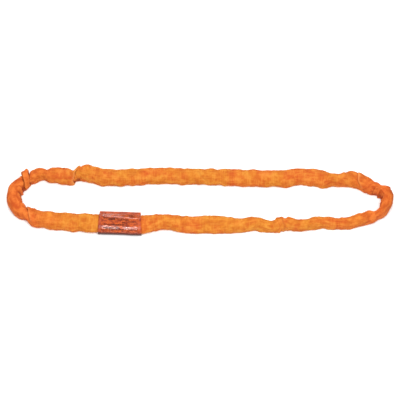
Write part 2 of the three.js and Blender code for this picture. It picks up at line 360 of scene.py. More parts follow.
# Creases: from one spot and angle round to another, then height (mm, below 0 for a groove), width (mm)
# and how far the middle bows along (mm).
CREASES = [
    (-0.006, 0.0866, 120, 0.030, 0.0854, 25, -1.6, 4, 3),  # slanted crease on the top run
    (0.001, 0.0865, 125, 0.038, 0.0854, 20, 1.4, 3, 3),
    (0.436, 0.0725, 120, 0.424, 0.0724, 15, -1.4, 4, 2),  # neck before the second twist
    (0.444, 0.0727, 125, 0.432, 0.0725, 20, 1.3, 4, 2),
    (0.558, 0.0360, 25, 0.572, 0.0270, 95, -2.2, 4, 3),  # knuckle
    (0.536, 0.0450, -35, 0.530, 0.0485, 25, -3.0, 3, 2),
    (0.553, 0.0386, -25, 0.556, 0.0365, 45, -2.5, 3, 2),
    (0.575, 0.0200, -20, 0.571, 0.0270, 60, -1.8, 4, 2),
    (0.583, -0.0050, -10, 0.580, 0.0080, 75, -1.6, 4, 3),
    (0.560, -0.0420, 0, 0.566, -0.0360, 80, -1.6, 4, 3),
    (0.252, -0.0850, 40, 0.264, -0.0850, 195, -1.8, 4, 4),  # beside the little peak
    (0.243, -0.0865, 60, 0.240, -0.0870, 130, -1.2, 3, 2),
    (0.268, -0.0850, 70, 0.272, -0.0852, 170, 1.2, 4, 2),
    (-0.574, 0.0250, -10, -0.577, 0.0220, 65, -2.4, 4, 2),  # puckers inside the left-hand turn
    (-0.570, 0.0390, -15, -0.566, 0.0430, 50, -2.6, 4, -2),
    (-0.577, 0.0120, -10, -0.578, 0.0100, 50, -1.5, 4, 2),
    (-0.560, -0.0330, 60, -0.545, -0.0450, 135, 1.5, 4, 3),  # below the corner's lobe
    (-0.556, -0.0370, 70, -0.540, -0.0480, 150, -1.5, 4, 3),
    (-0.510, 0.0930, 25, -0.515, 0.0900, 130, -1.2, 4, 2),  # beside the gathered ring
    (-0.496, 0.0935, 20, -0.500, 0.0930, 140, 0.9, 4, -2),
    (-0.515, -0.0590, 60, -0.500, -0.0640, 120, 1.2, 5, 2),
    (-0.120, 0.0905, 110, -0.112, 0.0905, 20, -1.0, 5, 2),  # soft ripples of the top run
    (-0.098, 0.0900, 120, -0.092, 0.0900, 30, 0.9, 5, 2),
    (-0.075, 0.0890, 115, -0.070, 0.0885, 25, -1.0, 5, -2),
    (0.110, 0.0830, 110, 0.116, 0.0828, 30, -0.9, 5, 2),
    (0.135, 0.0822, 120, 0.138, 0.0820, 20, 0.9, 5, -2),
    (0.160, 0.0820, 110, 0.166, 0.0818, 25, -0.9, 5, 2),
    (0.500, -0.0710, 60, 0.512, -0.0680, 140, -1.0, 5, 2),  # soft folds of the lower run
    (0.060, -0.0845, 60, 0.050, -0.0840, 170, -0.9, 5, 2),
    (0.120, -0.0890, 50, 0.128, -0.0890, 150, 0.9, 5, 2),
    (-0.420, -0.0740, 60, -0.405, -0.0755, 160, -0.9, 6, 3),
]

# Painted shade where the cloth lies in shadow: a spot, the angle round, how far it spreads along (mm) and
# round (degrees), and how dark the painted shade is.
PAINTED_SHADE_SPOTS = [
    (-0.383, 0.0930, -8, 9, 24, -1.0),  # pocket of the first twist
    (-0.577, 0.0030, 0, 26, 22, -0.5),  # inner wall of the left-hand turn
    (-0.562, 0.0500, 5, 7, 30, -1.0),
    (0.533, 0.0465, -16, 5, 13, -0.8),
    (0.555, 0.0370, -12, 7, 17, -0.8),
    (0.578, 0.0080, -2, 16, 18, -0.8),
    (0.566, -0.0370, 10, 14, 22, -0.4),
]


def hump(distance, spread):
    return np.exp(-((distance / spread) ** 2))


def through(profile, q):
    """Shift along, height and painted shading at the share q of the cloth in a fold, the first two in
    shares.
    """
    shares, places, heights, painted_shading_layer = np.array(profile, float).T
    inside = np.clip(q, -1, 1)
    moved = np.interp(inside, shares, places) - inside
    return moved, np.interp(inside, shares, heights), np.interp(inside, shares, painted_shading_layer)


def turned(angle, facing):
    """Angle from facing to angle in radians, the short way round."""
    return (angle - math.radians(facing) + math.pi) % (2 * math.pi) - math.pi


GIRTH_RADIUS = 24 * MM


def crease_share(s, angle, crease):
    """How much of a crease's height is at a point: 1 on its line, fading over its width and its ends."""
    x0, y0, facing0, x1, y1, facing1, _, width, bow = crease
    s0, s1 = place(x0, y0), place(x1, y1)
    span = from_place(s1, s0)
    reach = math.radians(facing1 - facing0)
    share = turned(angle, facing0) / reach
    share = np.where(share < -0.5 * abs(math.pi / reach), share + 2 * math.pi / abs(reach), share)
    middle = s0 + span * share + bow * MM * np.sin(math.pi * np.clip(share, 0, 1))
    slope = span / (reach * GIRTH_RADIUS)
    across = from_place(s, middle) / math.sqrt(1 + slope * slope)
    ends = smooth_step(share, -0.15, 0.25) * (1 - smooth_step(share, 0.75, 1.15))
    return hump(across, width * MM) * ends


def shaped(s, angle, folds=True):
    """The jacket's surface with its swells and, if asked for, its folds; and the painted shade and
    highlight on its cloth.
    """
    shift = np.zeros(np.broadcast(s, angle).shape)
    out, across, up, painted_shading = (np.zeros_like(shift) for _ in range(4))
    for x, y, facing, height, spread in SWELLS:
        share = hump(from_place(s, place(x, y)), spread * MM)
        share = share * np.clip(np.cos(turned(angle, facing)), 0, 1) ** 2
        across += height * MM * share * math.cos(math.radians(facing))
        up += height * MM * share * math.sin(math.radians(facing))
    if folds:
        for i, (x, y, half, lip, side, lean, lean_angle, facing, reach) in enumerate(LAPS):
            wobble = 1.6 * np.sin(2 * angle + i) + 1.1 * np.sin(5 * angle + 2 * i)
            fold_line = place(x, y) + (lean * np.cos(turned(angle, lean_angle)) + wobble) * MM
            moved, risen, painted_shading_here = through(LAP_PROFILE, side * from_place(s, fold_line) / (half * MM))
            reach = math.radians(reach)
            share = 1 - smooth_step(np.abs(turned(angle, facing)), 0.45 * reach, reach)
            share = share * (1 + 0.22 * np.sin(3 * angle + 1.7 * i))
            shift += side * half * MM * moved * np.clip(share, 0, 1)
            out += lip * MM * risen * share
            painted_shading += painted_shading_here * share
        x, y, half, height, outer, lean = KNOT
        wobble = 1.3 * np.sin(2 * angle + 0.6) + 1.0 * np.sin(5 * angle)
        q = from_place(s, place(x, y) + (lean * np.cos(angle) + wobble) * MM) / (half * MM)
        moved, risen, painted_shading_here = through(KNOT_PROFILE, q)
        shift += half * MM * moved
        uneven = 1 + 0.16 * np.sin(3 * angle + 2) + 0.10 * np.sin(7 * angle + 9 * q)
        uneven *= 1 + outer * np.clip(-np.cos(angle + 0.4), 0, 1) - 0.35 * np.clip(np.cos(angle), 0, 1)
        out += height * MM * risen * uneven
        painted_shading += painted_shading_here
        for crease in CREASES:
            share = crease_share(s, angle, crease)
            out += crease[6] * MM * share
            # Painted shade along the grooves and painted highlight along the ridges, by the crease's
            # height.
            painted_shading += 0.09 * crease[6] * abs(crease[6]) * share
        # Painted shade in pockets and on the inner walls of the turns.
        for x, y, facing, spread, spread_round, value in PAINTED_SHADE_SPOTS:
            near = hump(from_place(s, place(x, y)), spread * MM)
            painted_shading += value * near * hump(turned(angle, facing), math.radians(spread_round))
    return body_point(s + shift, angle, across + out * np.cos(angle), up + out * np.sin(angle)), painted_shading


ROUND = 72
COARSE, FINE = 2.5 * MM, 1.1 * MM
LOWEST = 0.4 * MM


def ring_places():
    """Distances along of the jacket's rings, closer together at the folds."""
    folds = [(place(x, y), half + abs(lean)) for x, y, half, _, _, lean, *_ in LAPS]
    folds.append((place(*KNOT[:2]), KNOT[2] + KNOT[5]))
    step = 0.5 * MM
    fine = np.arange(0, LOOP, step)
    pace = np.full_like(fine, 1 / COARSE)
    for s0, half in folds:
        near = 1 - smooth_step(abs(from_place(fine, s0)), half * MM, (half + 12) * MM)
        pace = np.maximum(pace, 1 / COARSE + near * (1 / FINE - 1 / COARSE))
    count = np.concatenate([[0], np.cumsum(pace * step)])
    total = int(count[-1])
    return np.interp(np.arange(total) * count[-1] / total, count, np.append(fine, LOOP))


# Slack cloth: the jacket is cut longer and a little wider than the core it covers, and puckers.
LONGER, WIDER = 1.08, 1.03
SIM_STEP, SIM_ROUND = 6.0 * MM, 32
SIM_FRAMES = 16
MOST_MOVE = 5.0 * MM
COLLIDER_INSET = 3.0 * MM


def relax():
    """How far the slack jacket moves as it settles on its core and on the floor, on a plain grid."""
    sim_s = (np.arange(int(LOOP / SIM_STEP)) * LOOP / int(LOOP / SIM_STEP))[:, None]
    sim_angle = circle(SIM_ROUND)[None, :]
    plain, _ = shaped(sim_s, sim_angle, folds=False)
    plain[..., 2] = np.maximum(plain[..., 2], LOWEST)
    centre = beside(sim_s, 0, 0)
    cut = centre * (LONGER, LONGER, 1) + (plain - centre) * WIDER
    jitter = np.random.RandomState(11).uniform(-0.4, 0.4, plain.shape) * MM

    piece = grid_mesh("slack_jacket", plain)
    basis = piece.shape_key_add(name="as_laid")
    basis.data.foreach_set("co", (plain + jitter).reshape(-1))
    slack = piece.shape_key_add(name="as_cut")
    slack.data.foreach_set("co", cut.reshape(-1))
    held = piece.vertex_groups.new(name="under_tag")
    under = np.abs(from_place(sim_s + 0 * sim_angle, 0)) < 0.9 * TAG_HALF
    held.add(np.flatnonzero(under.reshape(-1)).tolist(), 1.0, "REPLACE")
    core = grid_mesh("sim_core", body_point(sim_s, sim_angle))
    inset = core.modifiers.new("inset", "DISPLACE")
    inset.mid_level, inset.strength = 0, -COLLIDER_INSET
    for thing in (core, floor):
        thing.modifiers.new("collision", "COLLISION")
        thing.collision.thickness_outer = 0.3 * MM
        thing.collision.cloth_friction = 8

    cloth = piece.modifiers.new("cloth", "CLOTH")
    settings = cloth.settings
    settings.quality = 6
    settings.mass = 0.25
    settings.tension_stiffness = 12
    settings.compression_stiffness = 12
    settings.shear_stiffness = 4
    settings.bending_stiffness = 0.1
    settings.air_damping = 3
    settings.vertex_group_mass = "under_tag"
    settings.rest_shape_key = slack
    cloth.collision_settings.distance_min = 0.4 * MM
    cloth.collision_settings.collision_quality = 3
    cloth.point_cache.frame_start = 1
    cloth.point_cache.frame_end = SIM_FRAMES
    for frame_number in range(1, SIM_FRAMES + 1):
        scene.frame_set(frame_number)
    settled = np.empty(plain.size)
    result = piece.evaluated_get(bpy.context.evaluated_depsgraph_get())
    result.to_mesh().vertices.foreach_get("co", settled)
    result.to_mesh_clear()
    scene.frame_set(1)
    bpy.data.objects.remove(piece)
    bpy.data.objects.remove(core)
    floor.modifiers.clear()

    move = settled.reshape(plain.shape) - plain
    reach = np.linalg.norm(move, axis=-1, keepdims=True)
    return move * np.minimum(1, MOST_MOVE / np.maximum(reach, 1e-9))


def cubic_shares(t):
    """Shares of the four neighbours in a Catmull-Rom curve."""
    return (
        ((2 - t) * t - 1) * t / 2,
        ((3 * t - 5) * t * t + 2) / 2,
        ((4 - 3 * t) * t + 1) * t / 2,
        (t - 1) * t * t / 2,
    )


def resample(field, s, angle):
    """A field of the plain grid at the distances s along and the angles round."""
    rings, around = field.shape[:2]
    i = s / LOOP * rings
    j = angle / (2 * math.pi) * around
    i0, j0 = np.floor(i).astype(int), np.floor(j).astype(int)
    total = 0
    for a, share_a in enumerate(cubic_shares(i - i0)):
        for b, share_b in enumerate(cubic_shares(j - j0)):
            values = field[(i0 + a - 1) % rings, (j0 + b - 1) % around]
            total = total + (share_a * share_b)[..., None] * values
    return total


# Ripples: waves of small height that run round and along the cloth in all slants.
RIPPLES = 26
RIPPLE_HEIGHT = 0.55 * MM


def ripples(s, angle):
    """Height of the fine puckers; it repeats after one turn and after one length."""
    random = np.random.RandomState(5)
    height = np.zeros(np.broadcast(s, angle).shape)
    for _ in range(RIPPLES):
        wave_length = random.uniform(18, 65) * MM
        turns = round(LOOP / wave_length)
        slant = random.randint(-3, 4)
        patch_turns, patch_slant = random.randint(4, 14), random.randint(-1, 2)
        phase, patch_phase = random.uniform(0, 2 * math.pi, 2)
        wave = np.sin(2 * math.pi * turns * s / LOOP + slant * angle + phase)
        patch = np.sin(2 * math.pi * patch_turns * s / LOOP + patch_slant * angle + patch_phase)
        patch = 0.5 + 0.5 * patch
        height += wave * patch * (wave_length / (30 * MM)) ** 0.5
    return RIPPLE_HEIGHT * height / math.sqrt(RIPPLES / 6)


ring_s = ring_places()
grid_s, grid_angle = ring_s[:, None], circle(ROUND)[None, :]
laid, painted_shading = shaped(grid_s, grid_angle)
free = smooth_step(np.abs(from_place(grid_s, 0)), TAG_HALF, TAG_HALF + 20 * MM)
laid = laid + resample(relax(), grid_s + 0 * grid_angle, grid_angle + 0 * grid_s) * free[..., None]
rippled = ripples(grid_s, grid_angle) * free
outward = np.stack(
    [
        -at(grid_s, ahead[:, 1]) * np.cos(grid_angle),
        at(grid_s, ahead[:, 0]) * np.cos(grid_angle),
        np.sin(grid_angle) + 0 * grid_s,
    ],
    -1,
)
laid = laid + rippled[..., None] * outward
laid[..., 2] = np.maximum(laid[..., 2], LOWEST)
jacket = grid_mesh("jacket", laid)
# The painted shading is kept on the mesh for the cloth's material: painted shade below 0, painted
# highlight above 0.
painted_shading_layer = jacket.data.attributes.new("painted_shading", "FLOAT", "POINT")
painted_shading_layer.data.foreach_set("value", np.clip(painted_shading, -1, 1).reshape(-1))


def add_cloth_map(piece, points, around):
    """UVs in metres, along and round, for the weave. The faces are a closed grid's, ring by ring."""
    layer = piece.data.uv_layers.new(name="cloth")
    steps = np.linalg.norm(np.roll(points, -1, 0) - points, axis=-1).mean(1)
    u1 = np.cumsum(steps)
    u0 = u1 - steps
    v0, v1 = around[:-1], around[1:]
    uv = np.empty((len(u0), len(v0), 4, 2))
    for corner, (u, v) in enumerate(((u0, v0), (u0, v1), (u1, v1), (u1, v0))):
        uv[..., corner, :] = np.stack(np.meshgrid(u, v, indexing="ij"), -1)
    layer.data.foreach_set("uv", uv.reshape(-1))


GIRTH = 0.150
add_cloth_map(jacket, laid, np.arange(ROUND + 1) / ROUND * GIRTH)
stand_in(jacket, "outer_cover")


# ------------------------------------------------------------------ inside the jacket
INNER_INSET = 5.4 * MM
INNER_WALL = 1.0 * MM
TIE_INSET = 6.8 * MM
TIE_WALL = 0.6 * MM
CORE_INSET = 7.8 * MM
FINE_THREAD = 0.6 * MM
SEAM_APART = 24 * MM  # the two thread rings of an overlap seam
LAP_ROOM, LAP_SPREAD = 3.0 * MM, 26 * MM
KNOT_ROOM, KNOT_SPREAD = 6.0 * MM, 30 * MM
STATIONS = 80
SHELL_ROUND = 32
YARN_RINGS, YARN_ROUND = 300, 12
THREAD_RINGS, THREAD_ROUND = 64, 6


def fold_room(s):
    """Inside a fold the layers lie deeper."""
    laps = sum(hump(from_place(s, place(x, y)), LAP_SPREAD) for x, y, *_ in LAPS)
    knot = hump(from_place(s, place(*KNOT[:2])), KNOT_SPREAD)
    return np.maximum(LAP_ROOM * laps.clip(0, 1), KNOT_ROOM * knot)


def dented(s):
    """How far the dents push the layers inside (across, up) and how much narrower and lower they get."""
    across, up, narrower, lower = (0 * s for _ in range(4))
    for x, y, facing, height, spread in SWELLS:
        if height < 0:
            pushed = -height / 2 * MM * hump(from_place(s, place(x, y)), 1.2 * spread * MM)
            facing = math.radians(facing)
            lifted = 0.3 * pushed * abs(math.cos(facing))
            across = across - pushed * math.cos(facing)
            up = up - pushed * math.sin(facing) + lifted
            narrower = narrower + pushed * abs(math.cos(facing))
            lower = lower + pushed * abs(math.sin(facing)) + lifted
    return across, up, narrower, lower


def inside(s, angle, inset):
    depth = inset + fold_room(s)
    across, up, narrower, lower = dented(s)
    return body_point(
        s,
        angle,
        across=across - (depth + narrower) * power(np.cos(angle), SQUARENESS),
        up=up - (depth + lower) * power(np.sin(angle), SQUARENESS),
    )


def inner_piece(name, points):
    return stand_in(grid_mesh(name + "_cloth", points), name)


def shell(name, s_values, inset, wall):
    """A sleeve of cloth, open at its two ends."""
    angle = circle(SHELL_ROUND)[None, :]
    outer = inside(s_values[:, None], angle, inset)
    inner = inside(s_values[:, None], angle, inset + wall)
    return inner_piece(name, np.concatenate([outer, inner[::-1]], 0))


def yarn_bundle(name, across, up, half_across, half_up):
    """An endless bundle of yarn; middle and half sizes are shares of the core's half width and height."""
    s = (np.arange(YARN_RINGS) * LOOP / YARN_RINGS)[:, None]
    angle = circle(YARN_ROUND)[None, :]
    depth = CORE_INSET + fold_room(s)
    pushed_across, pushed_up, narrower, lower = dented(s)
    wide, high = at(s, sizes[:, 0]), at(s, sizes[:, 1])
    inwards = pushed_across + (across + half_across * np.cos(angle)) * (wide - depth - narrower)
    above = pushed_up + (up + half_up * np.sin(angle)) * (high - depth - lower)
    return inner_piece(name, body_point(s, 0 * angle, inwards - wide, above))


def station(i):
    return float(along[int(i * len(along) / STATIONS) % len(along)])


inner_mouth = LOOP / 2
MOUTH_GAP = 8 * MM
INNER_SEAM = 25 * MM  # from the mouth to the middle of its seam
INNER_RINGS = 420
inner_s = inner_mouth + MOUTH_GAP / 2 + np.linspace(0, LOOP - MOUTH_GAP, INNER_RINGS)
inner_cover = shell("inner_cover", inner_s, INNER_INSET, INNER_WALL)
HANKS = [(-0.62, 0.36, 0.28, 0.33), (0, 0.48, 0.28, 0.45), (0.62, 0.36, 0.28, 0.33)]
yarn_pieces = []
for i, (hank_across, hank_up, hank_wide, hank_high) in enumerate(HANKS):
    yarn_pieces.append(yarn_bundle(f"core_hank_{i + 1}", -hank_across, hank_up, hank_wide, hank_high))
    yarn_pieces.append(yarn_bundle(f"core_hank_{i + 4}", -hank_across, -hank_up, hank_wide, hank_high))
tie_pieces = []
TIE_STATIONS, TIE_RINGS = (46, 52, 76), 12
for i, first in enumerate(TIE_STATIONS):
    tie_s = np.linspace(station(first + 0.2), station(first + 0.8), TIE_RINGS)
    tie_pieces.append(shell(f"core_tie_{i + 1}", tie_s, TIE_INSET, TIE_WALL))
thread_pieces = []
for i, side in enumerate((-1, 1)):
    angle, tube_angle = circle(THREAD_RINGS)[:, None], circle(THREAD_ROUND)[None, :]
    s = inner_mouth + INNER_SEAM + side * SEAM_APART / 2 + FINE_THREAD / 2 * np.cos(tube_angle)
    depth = INNER_INSET - FINE_THREAD / 2 * (1 + np.sin(tube_angle))
    row = body_point(
        s + 0 * angle,
        angle + 0 * s,
        across=-depth * power(np.cos(angle), SQUARENESS),
        up=-depth * power(np.sin(angle), SQUARENESS),
    )
    thread_pieces.append(inner_piece(f"inner_cover_seam_{i + 1}", row))


# ------------------------------------------------------------------ tag
# The sleeve's outside, seen along the body: (towards the loop's inside, up) in mm from the middle of
# the section, from the upper edge of the fin over the top and round to the fin's lower edge.
TAG_OUTLINE = [
    (43.6, 1.2),
    (34.4, 1.2),
    (29.5, 9.5),
    (15.5, 21.0),
    (-3.0, 20.4),
    (-17.0, 20.0),
    (-29.0, 13.5),
    (-34.2, 3.0),
    (-34.4, -6.0),
    (-29.0, -16.5),
    (-17.0, -19.6),
    (15.0, -19.6),
    (29.0, -13.0),
    (34.4, -1.2),
    (43.6, -1.2),
]
TAG_BEND = 6.0 * MM
TAG_SHIFT = 3.5 * MM  # the tag's middle, along from the route's first point
RIDGE_AT, RIDGE_SKEW = 36.5 * MM, 4.5 * MM  # the far ridge runs a little askew
SLEEVE_WALL = 1.0 * MM
LABEL_WALL = 0.3 * MM
FILM_WALL = 0.25 * MM
FIN_DEPTH = 9.2 * MM


def rounded(points, radius):
    """A path with its corners bent round."""
    p = np.array(points, float) * MM
    path = [p[0]]
    for before, corner, after in zip(p, p[1:], p[2:]):
        back, on = before - corner, after - corner
        reach = min(radius, 0.45 * np.linalg.norm(back), 0.45 * np.linalg.norm(on))
        start, end = corner + unit(back) * reach, corner + unit(on) * reach
        for t in (0, 0.25, 0.5, 0.75, 1):
            path.append((1 - t) ** 2 * start + 2 * t * (1 - t) * corner + t**2 * end)
    path.append(p[-1])
    return np.array(path)


def spaced(path, step):
    """The path with points a step apart at most."""
    length = np.append(0, np.cumsum(np.linalg.norm(np.diff(path, axis=0), axis=1)))
    more = np.arange(0, length[-1], step)
    where = np.unique(np.round(np.concatenate([length, more]), 6))
    return np.stack([np.interp(where, length, path[:, k]) for k in (0, 1)], -1), where


def path_normals(path):
    along_path = unit(np.gradient(path, axis=0))
    return np.stack([along_path[:, 1], -along_path[:, 0]], -1)


tag_path, tag_length_round = spaced(rounded(TAG_OUTLINE, TAG_BEND), 2 * MM)
tag_normals = path_normals(tag_path)


def tag_creases(s, w):
    """Height of the tag's soft wrinkles, s along the body and w round the sleeve."""
    return (
        0.35 * np.sin(s / 0.0165 + 2.1 * np.sin(w / 0.019))
        + 0.25 * np.sin(w / 0.0062 + s / 0.024)
        + 0.2 * np.sin(s / 0.0071 - w / 0.011)
    ) * MM


def tag_point(s, w, outset):
    """Points of the tag: s along the body, w round the sleeve from the fin, outset from its outside."""
    inward = np.interp(w, tag_length_round, tag_path[:, 0])
    up = np.interp(w, tag_length_round, tag_path[:, 1])
    out_in = np.interp(w, tag_length_round, tag_normals[:, 0])
    out_up = np.interp(w, tag_length_round, tag_normals[:, 1])
    far = outset + tag_creases(s, w) * np.clip(out_up, 0, 1)
    inward = inward - RIDGE_SKEW * s / TAG_HALF * hump(w - RIDGE_AT, 14 * MM)
    return beside(*np.broadcast_arrays(s + TAG_SHIFT, inward + far * out_in, up + far * out_up))


SHEET_STEP = 2.5 * MM


def tag_sheet(name, w_from, w_to, half, outset, wall):
    """A sheet on the tag with a wall and closed edges; half is half its length along the body."""
    between = (tag_length_round > w_from) & (tag_length_round < w_to)
    w = np.unique(np.concatenate([[w_from, w_to], tag_length_round[between]]))
    s = np.linspace(-half, half, int(2 * half / SHEET_STEP) + 2)
    outer = tag_point(s[:, None], w[None, :], outset)
    inner = tag_point(s[:, None], w[None, :], outset - wall)
    ring = np.concatenate([outer, inner[:, ::-1]], 1)
    piece = grid_mesh(name, ring, closed_rings=False)
    mesh = bmesh.new()
    mesh.from_mesh(piece.data)
    mesh.verts.ensure_lookup_table()
    count, around = len(w), 2 * len(w)
    for first, flip in ((0, 1), ((len(s) - 1) * around, -1)):
        for k in range(count - 1):
            quad = [first + k, first + k + 1, first + around - 2 - k, first + around - 1 - k]
            face = mesh.faces.new([mesh.verts[i] for i in quad[::flip]])
            face.smooth = False
    bmesh.ops.recalc_face_normals(mesh, faces=mesh.faces)
    mesh.to_mesh(piece.data)
    mesh.free()
    layer = piece.data.uv_layers.new(name="cloth")
    vertex_w = np.tile(np.concatenate([w, w[::-1]]), len(s))
    vertex_s = np.repeat(s, around)
    loops = np.empty(len(piece.data.loops), dtype=int)
    piece.data.loops.foreach_get("vertex_index", loops)
    layer.data.foreach_set("uv", np.stack([vertex_s[loops], vertex_w[loops]], -1).reshape(-1))
    return piece


w_end = tag_length_round[-1]
sleeve = tag_sheet("tag_sleeve_cloth", 0, w_end, TAG_HALF, 0, SLEEVE_WALL)
stand_in(sleeve, "tag_sleeve")
# The label starts beside the fin and ends low on the near side. The film reaches a little past it.
label_from, label_to = FIN_DEPTH + 3 * MM, FIN_DEPTH + 79 * MM
film_from, film_to = label_from - 1 * MM, label_to + 2 * MM
LABEL_HALF, FILM_HALF = 56.0 * MM, 58.5 * MM
LABEL_OUTSET, FILM_OUTSET = 0.5 * MM, 1.1 * MM
label = tag_sheet("tag_label_sheet", label_from, label_to, LABEL_HALF, LABEL_OUTSET, LABEL_WALL)
stand_in(label, "tag_label")
film = tag_sheet("tag_window_film", film_from, film_to, FILM_HALF, FILM_OUTSET, FILM_WALL)
stand_in(film, "tag_window")

# Generic print: rows of bars where the real label has its text. How far round a row is (mm), how tall
# its bars are (mm), where it starts and ends along the tag (share), and how much of it is ink.
PRINT_ROWS = [
    (17.5, 2.6, 0.05, 0.42, 0.80),
    (21.0, 3.6, 0.70, 0.84, 0.85),
    (26.5, 3.0, 0.74, 0.90, 0.80),
    (43.5, 4.0, 0.03, 0.15, 0.85),
    (46.5, 8.0, 0.17, 0.38, 1.00),
    (44.5, 3.0, 0.40, 0.74, 0.95),
    (49.0, 3.2, 0.52, 0.76, 0.85),
    (53.0, 4.0, 0.76, 0.97, 0.85),
    (57.0, 4.4, 0.58, 0.66, 1.00),
    (60.5, 3.2, 0.62, 0.84, 0.70),
    (64.5, 4.2, 0.05, 0.64, 0.90),
    (74.5, 4.6, 0.06, 0.52, 0.92),
    (79.0, 3.4, 0.10, 0.86, 0.80),
]
INK = 0.12 * MM
PRINT_HALF = 54.0 * MM


def printed_bars():
    random = np.random.RandomState(3)
    verts, faces = [], []

    def block(w_low, w_high, s_low, s_high):
        steps = max(2, int((s_high - s_low) / (2 * MM)))
        s_values = np.linspace(s_low, s_high, steps)
        for w in (w_low, w_high):
            verts.extend(tag_point(s_values, np.full(steps, w), LABEL_OUTSET + INK).tolist())
        base = len(verts) - 2 * steps
        for k in range(steps - 1):
            faces.append((base + k, base + k + 1, base + steps + k + 1, base + steps + k))

    for w, tall, start, end, ink in PRINT_ROWS:
        spot = start
        while spot < end:
            wide = random.uniform(0.006, 0.035)
            if random.uniform() < ink:
                low = PRINT_HALF * (2 * spot - 1)
                high = PRINT_HALF * (2 * min(end, spot + wide) - 1)
                drift = random.uniform(-0.3, 0.3)
                block((w - tall / 2 + drift) * MM, (w + tall / 2 + drift) * MM, low, high)
            spot += wide + random.uniform(0.006, 0.014)
    return mesh_piece("tag_print", verts, faces, smooth=False)


bars = printed_bars()
ink_wall = bars.modifiers.new("ink", "SOLIDIFY")
ink_wall.thickness = INK * 0.8
ink_wall.offset = -1
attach(bars, "root")


SEAM_STITCHES = 36
STITCH_RISE, STITCH_DIP, STITCH_RADIUS = 0.55 * MM, 0.25 * MM, 0.42 * MM
STITCH_INSET = 0.1  # share of its length left free at each end


def stitched(name, node, centres, normals):
    """A row of stitches: short bent rods of thread that dip into the cloth between them."""
    verts, faces = [], []
    sides, beads = 6, 7  # points round a stitch and rings along it
    for i in range(len(centres) - 1):
        start, end, normal = centres[i], centres[i + 1], normals[i]
        way = end - start
        start, end = start + STITCH_INSET * way, end - STITCH_INSET * way
        across = unit(np.cross(way, normal))
        base = len(verts)
        for t in np.linspace(0, 1, beads):
            rise = STITCH_RISE * math.sin(math.pi * t) - STITCH_DIP
            thick = STITCH_RADIUS * (0.55 + 0.45 * math.sin(math.pi * t))
            middle = start + (end - start) * t + normal * rise
            for k in range(sides):
                a = 2 * math.pi * k / sides
                verts.append((middle + thick * (math.cos(a) * normal + math.sin(a) * across)).tolist())
        for j in range(beads - 1):
            for k in range(sides):
                a, b = base + j * sides + k, base + j * sides + (k + 1) % sides
                faces.append((a, b, b + sides, a + sides))
        faces.append(tuple(base + k for k in reversed(range(sides))))
        faces.append(tuple(base + (beads - 1) * sides + k for k in range(sides)))
    return stand_in(mesh_piece(name, verts, faces), node)


seam_pieces = []
seam_angle = np.arange(SEAM_STITCHES + 1) * 2 * math.pi / SEAM_STITCHES
for i, side in enumerate((-1, 1)):
    seam_s = np.full(SEAM_STITCHES + 1, side * SEAM_APART / 2)
    seam_points = body_point(seam_s, seam_angle)
    further_out = body_point(seam_s, seam_angle, np.cos(seam_angle) * MM, np.sin(seam_angle) * MM)
    seam_out = unit(further_out - seam_points)
    seam_points = seam_points + seam_out * 0.3 * MM
    seam_name = f"outer_cover_seam_{i + 1}"
    seam_pieces.append(stitched(seam_name + "_stitches", seam_name, seam_points, seam_out))


STITCH = 4.0 * MM
END_ROW = 0.0615
ROW_OUTSET = 0.1 * MM


def tag_row(name, node, s_values, w_values):
    s_values, w_values = np.broadcast_arrays(s_values, w_values)
    centres = tag_point(s_values, w_values, ROW_OUTSET)
    normals = unit(tag_point(s_values, w_values, ROW_OUTSET + 1 * MM) - centres)
    return stitched(name, node, centres, normals)


fin_s = np.linspace(-END_ROW, END_ROW, int(2 * END_ROW / STITCH))
end_steps = int((w_end - 2 * FIN_DEPTH) / STITCH)
end_w = np.linspace(FIN_DEPTH + 1 * MM, w_end - FIN_DEPTH - 1 * MM, end_steps)
stitch_pieces = [tag_row("tag_fin_stitches", "tag_fin_stitching", fin_s, FIN_DEPTH * 0.5)]
for end, side in (("left", -1), ("right", 1)):
    row = tag_row(f"tag_end_stitches_{end}", f"tag_end_stitching_{end}", side * END_ROW, end_w)
    stitch_pieces.append(row)


# ------------------------------------------------------------------ materials
def link(tree, a, b):
    tree.links.new(a, b)


def material_parts(name, color, roughness):
    made = plain_material(name, color, roughness)
    return made, made.node_tree, made.node_tree.nodes["Principled BSDF"]


def cloth_uv(tree):
    node = tree.nodes.new("ShaderNodeUVMap")
    node.uv_map = "cloth"
    return node.outputs["UV"]


def object_spot(tree):
    return tree.nodes.new("ShaderNodeTexCoord").outputs["Object"]


def noise(tree, vector, scale, detail=2.0, rough=0.5):
    """Noise over a vector stretched by the scale along each axis."""
    mapping = tree.nodes.new("ShaderNodeMapping")
    mapping.inputs["Scale"].default_value = scale
    link(tree, vector, mapping.inputs["Vector"])
    node = tree.nodes.new("ShaderNodeTexNoise")
    node.inputs["Scale"].default_value = 1
    node.inputs["Detail"].default_value = detail
    node.inputs["Roughness"].default_value = rough
    link(tree, mapping.outputs["Vector"], node.inputs["Vector"])
    return node.outputs["Fac"]


WAVES_PER_UNIT = 3.1831  # bands of the wave texture in a metre at scale 1


def waves(tree, vector, direction, per_metre):
    """Bands across the X or Y axis of the vector, from 0 to 1."""
    node = tree.nodes.new("ShaderNodeTexWave")
    node.bands_direction = direction
    node.inputs["Scale"].default_value = per_metre / WAVES_PER_UNIT
    node.inputs["Distortion"].default_value = 0.4
    node.inputs["Detail"].default_value = 1
    link(tree, vector, node.inputs["Vector"])
    return node.outputs["Fac"]


def ramp(tree, factor, stops):
    node = tree.nodes.new("ShaderNodeValToRGB")
    elements = node.color_ramp.elements
    while len(elements) < len(stops):
        elements.new(0.5)
    for element, (where, color) in zip(elements, stops):
        element.position = where
        element.color = (*color, 1)
    link(tree, factor, node.inputs["Fac"])
    return node.outputs["Color"]


